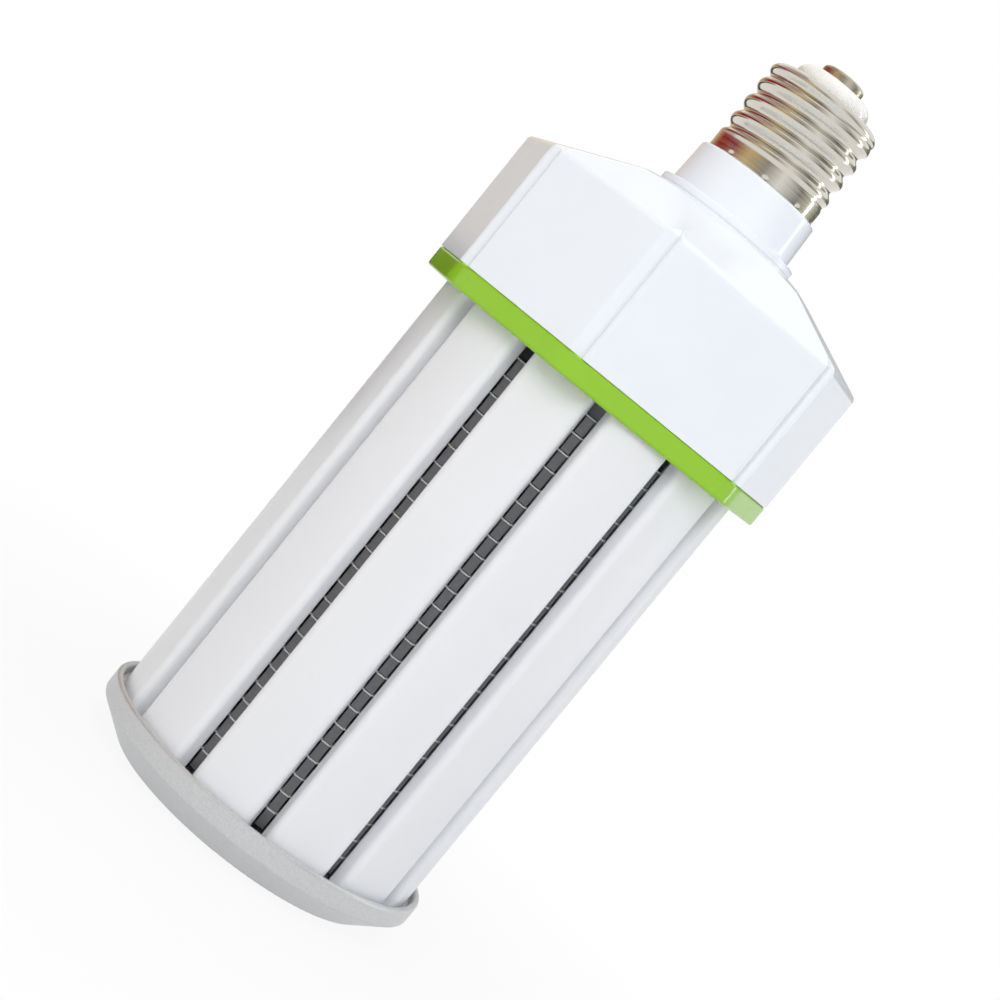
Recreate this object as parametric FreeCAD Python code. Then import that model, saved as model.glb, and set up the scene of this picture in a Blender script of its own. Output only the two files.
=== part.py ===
import FreeCAD
import Part
import math
import os

# Corn lamp on a large screw base, standing on its closed end with the base up.
# Angles are counted from the front (-Y) towards +X. All sizes are in millimetres.

# Stack of heights, from the closed end up to the contact
cap_height = 15.6
cap_floor_depth = 3.0
cap_floor_thickness = 3.0
bar_show_length = 154.0
ring_height = 7.0
plate_thickness = 3.0
wall_height = 42.6
roof_rise = 13.2
crown_rise = 1.4
crown_run = 5.9
flange_height = 2.5
neck_height = 14.0
insulator_rise = 4.9
contact_height = 3.2

# Light bars round the heat sink
bar_count = 12
bar_angle = -9.3
bar_crown_rise = 1.0
diffuser_wall = 1.0
diffuser_side_height = 5.45
diffuser_edge_round = 2.6
rail_seat_radius = 47.0
rail_base = 1.5
rail_wall = 1.1
rail_wall_height = 2.6
rail_clearance = 0.1
led_board_thickness = 1.2
led_board_clearance = 0.3
led_board_end_gap = 2.0
chip_length = 3.5
chip_width = 2.8
chip_height = 0.7
chips_per_board = 6

# Stacked cooling fins on the core
fin_count = 24
fin_thickness = 0.6
fin_head_gap = 2.1
fin_bottom_gap = 7.63
fin_fold_reach = 1.1
fin_fold_bevel = 0.7
fin_tab_gap = 0.3
fin_root_width = 2.89
fin_bar_gap = 0.25
core_flat_radius = 20.0
core_wall = 3.5
core_port_radius = 3.4
core_port_inset = 1.5
core_port_count = 4

# End cap and its cover
cap_bar_gap = 1.5
cap_wall = 2.2
cap_edge_round = 1.05
cap_band_height = 6.6
cap_foot_taper = 10.7
cap_foot_wall = 3.3
cap_foot_round = 1.5
cap_crease_round = 1.2
cover_wall = 1.6
cover_edge_round = 1.2
cover_clearance = 0.3
cover_stand = 0.6
end_board_thickness = 1.6
end_chip_count = 6
end_chip_circle = 26.0
lead_hole_radius = 6.0

# Eight-sided driver housing with a groove down every corner, corners as angles from the front
housing_corners = (-98.2, -53.2, -8.2, 49.5, 96.5, 137.8, 179.2, 220.5)
housing_wall = 2.4
eaves_round = 2.4
groove_depth = 3.0
groove_near = 2.36
groove_far = 2.87
groove_lean = 0.85
groove_near_round = 1.5
groove_far_round = 2.2
groove_floor_round = 0.4
groove_lead = 0.05
groove_reach = 7.43
groove_share = 0.15
groove_end_depth = 0.25
flange_width = 2.75
flange_round = 0.6
neck_taper = 0.65
neck_step = 1.7
neck_round = 0.8
spigot_height = 15.0
spigot_wall = 2.0
pillar_radius = 4.0
pillar_edge_gap = 2.7
pillar_count = 4

# Trim ring between housing and bars
ring_corner_round = 14.0
ring_edge_round = 0.9
ring_wall = 1.6
ring_shelf_width = 3.0
ring_upstand = 2.5
ring_upstand_wall = 2.2
plate_overhang = 0.3
seat_clearance = 0.3

# Screw base with its rolled thread
thread_radius = 19.75
thread_depth = 1.75
thread_pitch = 6.35
thread_turns = 3.89
thread_start = 2.1
thread_root = 1.4
skirt_step = 0.2
skirt_height = 5.3
thread_fade = 2.0
shoulder_height = 3.0
shell_rim_radius = 14.2
shell_rim_wall = 0.6
shell_wall = 0.6
shell_clearance = 0.3
thread_rows_per_pitch = 6
thread_columns = 12
shoulder_rows = 7
insulator_flange_height = 3.0
insulator_clearance = 0.25
insulator_round = 4.2
insulator_taper = 0.5
contact_radius = 7.35
contact_round = 1.4

# Driver on its board
board_pillar_gap = 2.5
board_width = 62.0
board_thickness = 1.6
standoff_height = 8.0
standoff_across = 5.5
standoff_inset = 5.0
transformer_length = 28.0
transformer_width = 24.0
transformer_height = 20.0
transformer_winding = 3.0
transformer_inset = 18.0
capacitor_radius = 8.0
capacitor_height = 26.0
capacitor_inset = 13.0
capacitor_spread = 16.0
choke_radius = 7.0
choke_bore = 3.0
choke_height = 9.0
choke_place_x = 4.0
choke_place_y = 21.0
lead_radius = 1.1
lead_bend = 4.0
lead_pair_offset = 2.2
shell_lead_place = 9.0
shell_lead_drop = 3.0

# Screws
screw_radius = 1.5
screw_head_radius = 2.8
screw_head_height = 2.0
screw_length = 9.0
board_screw_length = 5.0
sink_height = 1.3

# How far cutters run past what they cut, and how near counts as the same place
overrun = 1.0
same_place = 1e-4

# Radii worked out from the heat sink outwards
bar_step = 360.0 / bar_count
half_step = math.radians(bar_step / 2)
seat_half = rail_seat_radius * math.tan(half_step) - fin_root_width / 2 / math.cos(half_step)
bar_half = seat_half - fin_bar_gap
rail_half = bar_half - diffuser_wall - rail_clearance
rail_floor = rail_seat_radius + rail_base
rail_top = rail_floor + rail_wall_height
chip_seat = rail_floor + led_board_thickness
bar_edge = rail_floor + diffuser_side_height
bar_crown = bar_edge + bar_crown_rise
core_bore = core_flat_radius - core_wall
core_port_circle = core_bore - core_port_inset
cap_radius = bar_crown + cap_bar_gap + cap_wall
cap_foot_radius = cap_radius - cap_foot_taper
cap_seat_radius = cap_foot_radius - cap_foot_wall
cover_radius = cap_seat_radius - cover_clearance
plate_radius = bar_crown + plate_overhang
ring_shelf_radius = plate_radius - ring_shelf_width
housing_next = housing_corners[1:] + (housing_corners[0] + 360,)
housing_turns = [after - here for here, after in zip(housing_corners, housing_next)]
housing_near = plate_radius + seat_clearance + ring_wall
corner_radius = housing_near / math.cos(math.radians(max(housing_turns) / 2))
cavity_radius = corner_radius - groove_depth - housing_wall
pillar_circle = rail_seat_radius - screw_head_radius - pillar_edge_gap
board_length = 2 * (pillar_circle - pillar_radius - board_pillar_gap)

# Radii of the screw base and the neck under it
shell_bore = thread_radius - thread_depth - shell_wall
skirt_radius = thread_radius - skirt_step
spigot_radius = shell_bore - shell_clearance
neck_bore = spigot_radius - spigot_wall
neck_top_radius = skirt_radius + neck_step
neck_foot_radius = neck_top_radius + neck_taper
flange_radius = neck_foot_radius + flange_width
crown_radius = flange_radius + crown_run

# Levels worked out from the stack
thread_span = skirt_height + thread_turns * thread_pitch
z_floor = cap_height - cap_floor_depth
z_web = z_floor - cap_floor_thickness
z_ring = cap_height + bar_show_length
z_plate = z_ring + plate_thickness
z_wall = z_ring + ring_height
z_eaves = z_wall + wall_height
z_crown = z_eaves + roof_rise + crown_rise
z_flange = z_crown + flange_height
z_neck = z_flange + neck_height
z_shoulder = z_neck + thread_span
z_rim = z_shoulder + shoulder_height
z_insulator = z_rim + insulator_rise
z_contact = z_insulator + contact_height
z_board = z_plate + standoff_height
z_board_top = z_board + board_thickness
bar_length = z_ring - z_floor
end_board_floor = z_web - end_board_thickness
UP = FreeCAD.Vector(0, 0, 1)
ORIGIN = FreeCAD.Vector(0, 0, 0)


def around(radius, degrees, z=0.0):
    """Point at a radius and an angle counted from the front towards +X."""
    turn = math.radians(degrees)
    return FreeCAD.Vector(radius * math.sin(turn), -radius * math.cos(turn), z)


def turned_point(across, outwards, degrees):
    """Point given across and outwards from a bar that stands at an angle."""
    return around(math.hypot(across, outwards), degrees + math.degrees(math.atan2(across, outwards)))


def in_plan(a, b):
    """Point of a plan drawing."""
    return FreeCAD.Vector(a, b, 0)


def in_section(a, b):
    """Point of a section drawing, radius and height."""
    return FreeCAD.Vector(a, 0, b)


def rounded_wire(corners, lift):
    """Closed outline through corners (a, b, rounding radius), lifted from its drawing into space."""
    arcs = []
    for here in range(len(corners)):
        before = FreeCAD.Vector(*corners[here - 1][:2])
        corner = FreeCAD.Vector(*corners[here][:2])
        after = FreeCAD.Vector(*corners[(here + 1) % len(corners)][:2])
        to_before = (before - corner).normalize()
        to_after = (after - corner).normalize()
        half = to_before.getAngle(to_after) / 2
        reach = corners[here][2] / math.tan(half)
        middle = (to_before + to_after).normalize() * (corners[here][2] / math.sin(half) - corners[here][2])
        points = [corner + to_before * reach, corner + middle, corner + to_after * reach]
        arcs.append([lift(p.x, p.y) for p in points])
    edges = []
    for here in range(len(arcs)):
        start, middle, end = arcs[here]
        if corners[here][2] > 0:
            edges.append(Part.Arc(start, middle, end).toShape())
        following = arcs[(here + 1) % len(arcs)][0]
        if end.distanceToPoint(following) > same_place:
            edges.append(Part.makeLine(end, following))
    return Part.Wire(edges)


def turned(corners):
    """Solid turned about the upright axis from a section of corners (radius, height, rounding)."""
    return Part.Face(rounded_wire(corners, in_section)).revolve(ORIGIN, UP, 360)


def pillar(radius, bottom, top, place=ORIGIN):
    """Upright cylinder between two heights."""
    return Part.makeCylinder(radius, top - bottom, FreeCAD.Vector(place.x, place.y, bottom))


def prism(points, bottom, top):
    """Upright prism on a plan of points."""
    base = [FreeCAD.Vector(p.x, p.y, bottom) for p in points]
    return Part.Face(Part.makePolygon(base + base[:1])).extrude(UP * (top - bottom))


def spun(shape, degrees):
    """Copy of a shape turned about the upright axis."""
    copy = shape.copy()
    copy.rotate(ORIGIN, UP, degrees)
    return copy


def merged(shapes):
    """One solid from shapes that touch or overlap."""
    return shapes[0].multiFuse(shapes[1:]).removeSplitter()


def save(name, shape):
    """Writes one piece."""
    shape.exportStep("parts/" + name + ".step")


def many_sided(flat_radius, sides, turn, bottom, top):
    """Upright prism with equal sides, the first of them facing the angle turn."""
    reach = flat_radius / math.cos(math.pi / sides)
    points = [around(reach, turn + (k + 0.5) * 360.0 / sides) for k in range(sides)]
    return prism(points, bottom, top)


# Housing

def roofed_block(inset, bottom, rounding):
    """Block on the housing's plan, set in all round, under a hipped roof whose eaves meet in mitres."""
    span = 2 * corner_radius
    block = None
    for corner, turn in zip(housing_corners, housing_turns):
        distance = corner_radius * math.cos(math.radians(turn / 2))
        slope = roof_rise / (distance - crown_radius)
        edge = distance - inset
        eaves = z_eaves - inset * (math.hypot(1, slope) - slope)
        side = [(-span, bottom, 0), (edge, bottom, 0), (edge, eaves, rounding),
                (-span, eaves + slope * (edge + span), 0)]
        slab = Part.Face(rounded_wire(side, in_section)).extrude(FreeCAD.Vector(0, 2 * span, 0))
        slab.translate(FreeCAD.Vector(0, -span, 0))
        slab = spun(slab, corner + turn / 2 - 90)
        block = block.common(slab) if block else slab
    return block


def groove_outline(halves, radius, depth, z):
    """Outline cut away at a corner at a height: two rounded lips along its sides, a floor between them."""
    scale = depth / groove_depth

    def on_side(side, distance, lead):
        half = halves[0] if side < 0 else halves[1]
        a = side * (distance * scale * math.cos(half) + lead * math.sin(half))
        return a, distance * scale * math.sin(half) - lead * math.cos(half) - radius

    left = on_side(-1, groove_reach, groove_lead)
    right = on_side(1, groove_reach, groove_lead)
    outside = -radius - groove_depth
    corners = [left + (0,), on_side(-1, groove_far, 0) + (groove_far_round * scale,),
               (groove_lean * scale, depth - radius, groove_floor_round * scale),
               on_side(1, groove_near, 0) + (groove_near_round * scale,), right + (0,),
               (right[0], outside, 0), (left[0], outside, 0)]
    return rounded_wire(corners, lambda a, b: FreeCAD.Vector(a, b, z))


def corner_groove(k):
    """Cutters of one corner groove: up the wall to the eaves, then along the roof ridge, fading inwards."""
    halves = [math.radians(housing_turns[k - 1] / 2), math.radians(housing_turns[k] / 2)]
    foot = Part.Face(groove_outline(halves, corner_radius, groove_depth, z_wall - overrun))
    wall = foot.extrude(UP * (wall_height + overrun))
    drift = (halves[1] - halves[0]) / 2
    crown_corner = crown_radius / math.cos(sum(halves) / 2)
    end_radius = corner_radius - groove_share * (corner_radius - crown_corner * math.cos(drift))
    start = groove_outline(halves, corner_radius, groove_depth, z_eaves)
    end = groove_outline(halves, end_radius, groove_end_depth, z_eaves + groove_share * roof_rise)
    end.translate(FreeCAD.Vector(groove_share * crown_corner * math.sin(drift), 0, 0))
    return [spun(tool, housing_corners[k]) for tool in (wall, Part.makeLoft([start, end], True, True))]


def driver_housing():
    """White moulding: grooved wall and roof, flange, neck and the spigot that the screw shell sits on."""
    block = roofed_block(0, z_wall, eaves_round)
    fall = crown_rise / crown_run
    reach = corner_radius + overrun
    limit = turned([(0, z_wall - overrun, 0), (reach, z_wall - overrun, 0),
                    (reach, z_crown - fall * (reach - flange_radius), 0),
                    (flange_radius, z_crown, 0), (0, z_crown, 0)])
    block = block.common(limit)
    cutters = []
    for k in range(len(housing_corners)):
        cutters += corner_groove(k)
    block = block.cut(cutters)
    neck = turned([(0, z_crown - crown_rise, 0), (flange_radius, z_crown - crown_rise, 0),
                   (flange_radius, z_flange, flange_round), (neck_foot_radius, z_flange, neck_round),
                   (neck_top_radius, z_neck, neck_round), (spigot_radius, z_neck, 0),
                   (spigot_radius, z_neck + spigot_height, 0), (0, z_neck + spigot_height, 0)])
    ceiling = z_crown - crown_rise - housing_wall
    cavity = roofed_block(housing_wall, z_wall - overrun, 0)
    cavity = cavity.common(pillar(cavity_radius, z_wall - overrun, ceiling))
    shell = block.fuse(neck).cut(cavity).cut(pillar(neck_bore, z_wall, z_neck + spigot_height + overrun))
    posts = []
    for place in pillar_places():
        above = pillar(pillar_radius, z_wall, z_flange, place).common(block)
        posts.append(above.fuse(pillar(pillar_radius, z_plate, z_wall + overrun, place)))
    shell = merged([shell] + posts)
    tip = z_plate + screw_length
    return shell.cut([pillar(screw_radius, z_plate - overrun, tip, p) for p in pillar_places()])


def pillar_places():
    """Screw pillars inside the housing."""
    return [around(pillar_circle, 360.0 / pillar_count * k) for k in range(pillar_count)]


# Trim ring and the plate that carries housing, core and bars

def trim_ring():
    """Green ring that hides the plate's edge, with a shelf on the plate and an upstand inside the housing."""
    corners = [around(corner_radius, turn) for turn in housing_corners]
    outline = rounded_wire([(p.x, p.y, ring_corner_round) for p in corners], in_plan)
    band = Part.Face(outline).extrude(UP * ring_height)
    rims = [e for e in band.Edges if abs(e.Vertexes[0].Z - e.Vertexes[1].Z) < same_place]
    band = band.makeFillet(ring_edge_round, rims)
    band.translate(UP * z_ring)
    inset = housing_wall + seat_clearance
    upstand = roofed_block(inset, z_wall - overrun, 0)
    upstand = upstand.common(pillar(cavity_radius - seat_clearance, z_wall - overrun, z_wall + ring_upstand))
    hollow = pillar(housing_near - inset - ring_upstand_wall, z_wall, z_wall + ring_upstand + overrun)
    shelf = pillar(ring_shelf_radius, z_ring - overrun, z_wall + overrun)
    recess = pillar(plate_radius + seat_clearance, z_ring - overrun, z_plate)
    return band.fuse(upstand).cut([hollow, shelf, recess])


def port_places():
    """Screw ports of the core."""
    return [around(core_port_circle, 360.0 / core_port_count * (k + 0.5)) for k in range(core_port_count)]


def standoff_places():
    """Feet of the driver board."""
    x = board_length / 2 - standoff_inset
    y = board_width / 2 - standoff_inset
    return [FreeCAD.Vector(sx * x, sy * y, 0) for sx in (-1, 1) for sy in (-1, 1)]


def sunk_screw(tip, head_top, place):
    """Screw with a sunk head, between its tip and the top of its head, either way up."""
    down = 1 if head_top > tip else -1
    return turned_at([(0, tip, 0), (screw_radius, tip, 0), (screw_radius, head_top - down * sink_height, 0),
                      (screw_head_radius, head_top, 0), (0, head_top, 0)], place)


def pan_screw(tip, seat, place):
    """Screw with a flat round head on the far side of its seat, either way up."""
    far = seat + screw_head_height * (1 if seat > tip else -1)
    return turned_at([(0, tip, 0), (screw_radius, tip, 0), (screw_radius, seat, 0),
                      (screw_head_radius, seat, 0), (screw_head_radius, far, 0), (0, far, 0)], place)


def turned_at(corners, place):
    """Turned solid moved to its place in plan."""
    solid = turned(corners)
    solid.translate(FreeCAD.Vector(place.x, place.y, 0))
    return solid


def core_screws():
    """Sunk screws through the plate into the top of the core."""
    return [sunk_screw(z_plate - screw_length, z_plate, p) for p in port_places()]


def end_screws():
    """Sunk screws through the end cap's floor into the foot of the core."""
    return [sunk_screw(z_web + screw_length, z_web, p) for p in port_places()]


def housing_screws():
    """Screws up through the plate into the housing's pillars."""
    return [pan_screw(z_plate + screw_length, z_ring, p) for p in pillar_places()]


def board_screws():
    """Screws that hold the driver board on its standoffs."""
    return [pan_screw(z_board_top - board_screw_length, z_board_top, p) for p in standoff_places()]


def board_standoffs():
    """Six-sided standoffs with a stud in the plate and a tapped top."""
    feet = []
    for place in standoff_places():
        post = many_sided(standoff_across / 2, 6, 0, z_plate, z_board)
        post = post.fuse(pillar(screw_radius, z_ring, z_plate))
        post = post.cut(pillar(screw_radius, z_board_top - board_screw_length, z_board))
        post.translate(place)
        feet.append(post)
    return feet


def top_plate():
    """Round plate under the housing, drilled for screws, standoffs and leads."""
    plate = pillar(plate_radius, z_ring, z_plate)
    low = z_ring - overrun
    high = z_plate + overrun
    holes = [pillar(lead_hole_radius, low, high)]
    holes += [pillar(screw_radius, low, high, p) for p in standoff_places() + pillar_places()]
    return plate.cut(holes + core_screws())


# Heat sink

def core_tube():
    """Drawn core: twelve flats outside, round bore with four screw ports inside."""
    core = many_sided(core_flat_radius, bar_count, bar_angle, z_floor, z_ring)
    core = core.cut(pillar(core_bore, z_floor - overrun, z_ring + overrun))
    ports = [pillar(core_port_radius, z_floor, z_ring, p) for p in port_places()]
    return merged([core] + ports).cut(core_screws() + end_screws())


def fin_levels():
    """Underside of each fin."""
    first = z_floor + fin_bottom_gap
    last = z_ring - screw_head_height - fin_head_gap - fin_thickness
    return [first + (last - first) * k / (fin_count - 1) for k in range(fin_count)]


def cooling_fins():
    """Thin stamped fins: between the bars each is folded down into a tab that covers the gap below."""
    seat = [(-seat_half, rail_seat_radius), (seat_half, rail_seat_radius)]
    points = [turned_point(a, b, bar_angle + bar_step * k) for k in range(bar_count) for a, b in seat]
    levels = fin_levels()
    root = (points[1] + points[2]).Length / 2
    edge = root + fin_fold_reach
    low = fin_thickness + fin_tab_gap - (levels[1] - levels[0])
    fold = [(edge - fin_fold_bevel, fin_thickness, 0), (edge, fin_thickness - fin_fold_bevel, 0)]
    leg = [(edge, low, 0), (edge - fin_thickness, low, 0), (edge - fin_thickness, 0, 0)]
    section = [(root, 0, 0), (root, fin_thickness, 0)] + fold + leg
    tab = Part.Face(rounded_wire(section, in_section)).extrude(FreeCAD.Vector(0, fin_root_width, 0))
    tab.translate(FreeCAD.Vector(0, -fin_root_width / 2, 0))
    tabs = [spun(tab, bar_angle + bar_step * (k + 0.5) - 90) for k in range(bar_count)]
    fin = merged([prism(points, 0, fin_thickness)] + tabs)
    fin = fin.cut(many_sided(core_flat_radius, bar_count, bar_angle, -overrun, fin_thickness + overrun))
    fins = []
    for level in levels:
        copy = fin.copy()
        copy.translate(UP * level)
        fins.append(copy)
    return fins


# Light bars

def upright_bar(corners, bottom, top, k):
    """Bar of a plan outline (across, outwards, rounding), stood up and turned to its place."""
    wire = rounded_wire([(a, -b, r) for a, b, r in corners], in_plan)
    bar = Part.Face(wire).extrude(UP * (top - bottom))
    bar.translate(UP * bottom)
    return spun(bar, bar_angle + bar_step * k)


def bar_rail(k):
    """Channel that holds one light strip and carries its diffuser."""
    inner = rail_half - rail_wall
    return upright_bar([(-rail_half, rail_seat_radius, 0), (rail_half, rail_seat_radius, 0),
                        (rail_half, rail_top, 0), (inner, rail_top, 0), (inner, rail_floor, 0),
                        (-inner, rail_floor, 0), (-inner, rail_top, 0), (-rail_half, rail_top, 0)],
                       z_floor, z_ring, k)


def led_board(k):
    """Flat board of one light strip."""
    half = rail_half - rail_wall - led_board_clearance
    return upright_bar([(-half, rail_floor, 0), (half, rail_floor, 0),
                        (half, chip_seat, 0), (-half, chip_seat, 0)],
                       z_floor + led_board_end_gap, z_ring - led_board_end_gap, k)


def led_chips():
    """Light chips of all strips, evenly spaced along each board."""
    chips = []
    pitch = (bar_length - 2 * led_board_end_gap) / chips_per_board
    half = chip_width / 2
    top = chip_seat + chip_height
    for k in range(bar_count):
        for n in range(chips_per_board):
            middle = z_floor + led_board_end_gap + pitch * (n + 0.5)
            outline = [(-half, chip_seat, 0), (half, chip_seat, 0), (half, top, 0), (-half, top, 0)]
            chips.append(upright_bar(outline, middle - chip_length / 2, middle + chip_length / 2, k))
    return chips


def bar_diffuser(k):
    """Frosted cover of one bar: a shallow arch with sides that clip over the rail."""
    inner = bar_half - diffuser_wall
    foot = rail_floor
    arch = [in_plan(-bar_half, -bar_edge), in_plan(0, -bar_crown), in_plan(bar_half, -bar_edge)]
    lower = diffuser_wall - bar_edge
    vault = [in_plan(inner, lower), in_plan(0, diffuser_wall - bar_crown), in_plan(-inner, lower)]
    feet = [in_plan(a, -foot) for a in (bar_half, inner, -inner, -bar_half)]
    edges = [Part.Arc(*arch).toShape(), Part.makeLine(arch[2], feet[0]), Part.makeLine(feet[0], feet[1]),
             Part.makeLine(feet[1], vault[0]), Part.Arc(*vault).toShape(), Part.makeLine(vault[2], feet[2]),
             Part.makeLine(feet[2], feet[3]), Part.makeLine(feet[3], arch[0])]
    cover = Part.Face(Part.Wire(edges)).extrude(UP * bar_length)
    hollows = [e for e in cover.Edges if is_bar_edge(e, inner, bar_edge - diffuser_wall)]
    cover = cover.makeFillet(diffuser_edge_round - diffuser_wall, hollows)
    shoulders = [e for e in cover.Edges if is_bar_edge(e, bar_half, bar_edge)]
    cover = cover.makeFillet(diffuser_edge_round, shoulders)
    cover.translate(UP * z_floor)
    return spun(cover, bar_angle + bar_step * k)


def is_bar_edge(edge, across, outwards):
    """Tells the two long edges of a diffuser at a place in its section from its other edges."""
    low, high = edge.Vertexes[0].Point, edge.Vertexes[-1].Point
    upright = abs(high.z - low.z) > bar_length / 2
    return upright and abs(abs(low.x) - across) < same_place and abs(low.y + outwards) < same_place


# Closed end

def end_cap():
    """Silver cap: a floor for core and bars, an upright band and a foot that tapers inwards."""
    crease = cap_height - cap_band_height
    inner = cap_radius - cap_wall
    cap = turned([(lead_hole_radius, z_web, 0), (cap_seat_radius, z_web, 0),
                  (cap_seat_radius, cover_stand, 0), (cap_foot_radius, cover_stand, cap_foot_round),
                  (cap_radius, crease, cap_crease_round),
                  (cap_radius, cap_height, cap_edge_round), (inner, cap_height, cap_edge_round),
                  (inner, z_floor, 0), (lead_hole_radius, z_floor, 0)])
    return cap.cut(end_screws())


def end_cover():
    """Frosted dish over the end light board; its flat face is what the lamp stands on."""
    inner = cover_radius - cover_wall
    return turned([(0, 0, 0), (cover_radius, 0, cover_edge_round), (cover_radius, end_board_floor, 0),
                   (inner, end_board_floor, 0), (inner, cover_wall, 0), (0, cover_wall, 0)])


def end_led_board():
    """Round light board under the cap's floor."""
    return pillar(cover_radius, end_board_floor, z_web)


def end_led_chips():
    """Light chips of the end board."""
    chips = []
    for k in range(end_chip_count):
        place = around(end_chip_circle, 360.0 / end_chip_count * k, end_board_floor - chip_height)
        corner = place - FreeCAD.Vector(chip_length / 2, chip_width / 2, 0)
        chips.append(Part.makeBox(chip_length, chip_width, chip_height, corner))
    return chips


# Screw base

def shell_radius(height, turn):
    """Outer radius of the rolled shell at a height over its foot, below the shoulder, and an angle."""
    rise = min(max((height - skirt_height) / thread_fade, 0.0), 1.0)
    fall = min(max((thread_span - height) / thread_fade, 0.0), 1.0)
    wave = math.cos(2 * math.pi * (height - thread_start) / thread_pitch - turn)
    threaded = thread_radius - thread_depth * ((1 - wave) / 2) ** thread_root
    return skirt_radius + (threaded - skirt_radius) * min(rise, fall)


def screw_shell():
    """Rolled screw shell: plain skirt, round right-hand thread, shoulder that closes on the insulator."""
    rows = max(2, round(thread_rows_per_pitch * thread_span / thread_pitch))
    grid = []
    for column in range(thread_columns + 1):
        turn = 2 * math.pi * (column % thread_columns) / thread_columns
        line = []
        for row in range(rows + 1):
            height = thread_span * row / rows
            line.append((shell_radius(height, turn), height))
        for row in range(1, shoulder_rows + 1):
            bend = math.pi / 2 * row / shoulder_rows
            line.append((shell_rim_radius + (skirt_radius - shell_rim_radius) * math.cos(bend),
                         thread_span + shoulder_height * math.sin(bend)))
        grid.append([FreeCAD.Vector(r * math.cos(turn), r * math.sin(turn), z_neck + h) for r, h in line])
    skin = Part.BSplineSurface()
    skin.interpolate(grid)
    outside = skin.toShape()
    foot = Part.Wire([e for e in outside.Edges if abs(e.CenterOfMass.z - z_neck) < same_place])
    rim = Part.Wire([e for e in outside.Edges if abs(e.CenterOfMass.z - z_rim) < same_place])
    block = Part.Solid(Part.makeShell(sewn([outside, Part.Face(foot), Part.Face(rim)])))
    if block.Volume < 0:
        block.reverse()
    mouth = shell_rim_radius - shell_rim_wall
    bore = turned([(0, z_neck - overrun, 0), (shell_bore, z_neck - overrun, 0), (shell_bore, z_shoulder, 0),
                   (mouth, z_rim - shell_rim_wall, 0), (mouth, z_rim + overrun, 0), (0, z_rim + overrun, 0)])
    return block.cut(spun(bore, 180))


def sewn(faces):
    """Faces joined along their common edges."""
    shell = Part.makeShell(faces)
    shell.sewShape()
    return shell.Faces


def base_insulator():
    """Insulator: a flange held under the shell's shoulder and a dome that carries the contact."""
    flange = shell_bore - insulator_clearance
    mouth = shell_rim_radius - shell_rim_wall - insulator_clearance
    return turned([(screw_radius, z_shoulder - insulator_flange_height, 0),
                   (flange, z_shoulder - insulator_flange_height, 0),
                   (flange, z_shoulder - insulator_clearance, 0),
                   (mouth, z_rim - shell_rim_wall - insulator_clearance, 0), (mouth, z_rim, 0),
                   (mouth - insulator_taper, z_insulator, insulator_round),
                   (screw_radius, z_insulator, 0)])


def centre_contact():
    """Round contact on the insulator."""
    return turned([(0, z_insulator, 0), (contact_radius, z_insulator, 0),
                   (contact_radius, z_contact, contact_round), (0, z_contact, 0)])


# Driver

def driver_board():
    """Driver board, drilled for its screws."""
    corner = FreeCAD.Vector(-board_length / 2, -board_width / 2, z_board)
    board = Part.makeBox(board_length, board_width, board_thickness, corner)
    low = z_board - overrun
    high = z_board_top + overrun
    return board.cut([pillar(screw_radius, low, high, p) for p in standoff_places()])


def transformer():
    """Transformer: core block with the winding that bulges out on two sides."""
    core = Part.makeBox(transformer_length, transformer_width - 2 * transformer_winding, transformer_height)
    coil = Part.makeBox(transformer_length - 4 * transformer_winding, transformer_width,
                        transformer_height - 2 * transformer_winding)
    core.translate(FreeCAD.Vector(-transformer_length / 2, transformer_winding - transformer_width / 2, 0))
    coil.translate(FreeCAD.Vector(2 * transformer_winding - transformer_length / 2, -transformer_width / 2,
                                  transformer_winding))
    body = merged([core, coil])
    body.translate(FreeCAD.Vector(transformer_inset - board_length / 2, 0, z_board_top))
    return body


def capacitors():
    """Two upright capacitors."""
    x = board_length / 2 - capacitor_inset
    places = [FreeCAD.Vector(x, s * capacitor_spread, 0) for s in (-1, 1)]
    return [pillar(capacitor_radius, z_board_top, z_board_top + capacitor_height, p) for p in places]


def choke():
    """Ring choke lying on the board."""
    place = FreeCAD.Vector(choke_place_x, choke_place_y, 0)
    ring = pillar(choke_radius, z_board_top, z_board_top + choke_height, place)
    return ring.cut(pillar(choke_bore, z_board_top - overrun, z_board_top + choke_height + overrun, place))


def base_leads():
    """Leads from the driver to the centre contact and to the inside of the screw shell."""
    centre = pillar(lead_radius, z_board_top, z_insulator)
    z_run = z_shoulder - insulator_flange_height - lead_radius - shell_lead_drop
    start = FreeCAD.Vector(shell_lead_place, 0, z_board_top)
    bend = FreeCAD.Vector(shell_lead_place, 0, z_run - lead_bend)
    slant = math.sqrt(0.5) * lead_bend
    crest = FreeCAD.Vector(shell_lead_place + lead_bend - slant, 0, z_run - lead_bend + slant)
    run = FreeCAD.Vector(shell_lead_place + lead_bend, 0, z_run)
    end = FreeCAD.Vector(shell_bore, 0, z_run)
    curve = Part.Arc(bend, crest, run).toShape()
    path = Part.Wire([Part.makeLine(start, bend), curve, Part.makeLine(run, end)])
    section = Part.Wire(Part.makeCircle(lead_radius, start, UP))
    inside = pillar(shell_bore, z_board_top, z_rim)
    return [centre, path.makePipeShell([section], True, False).common(inside)]


def end_leads():
    """Pair of leads from the driver down through the core to the end light board."""
    places = [FreeCAD.Vector(s * lead_pair_offset, 0, 0) for s in (-1, 1)]
    return [pillar(lead_radius, z_web, z_board, p) for p in places]


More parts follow.
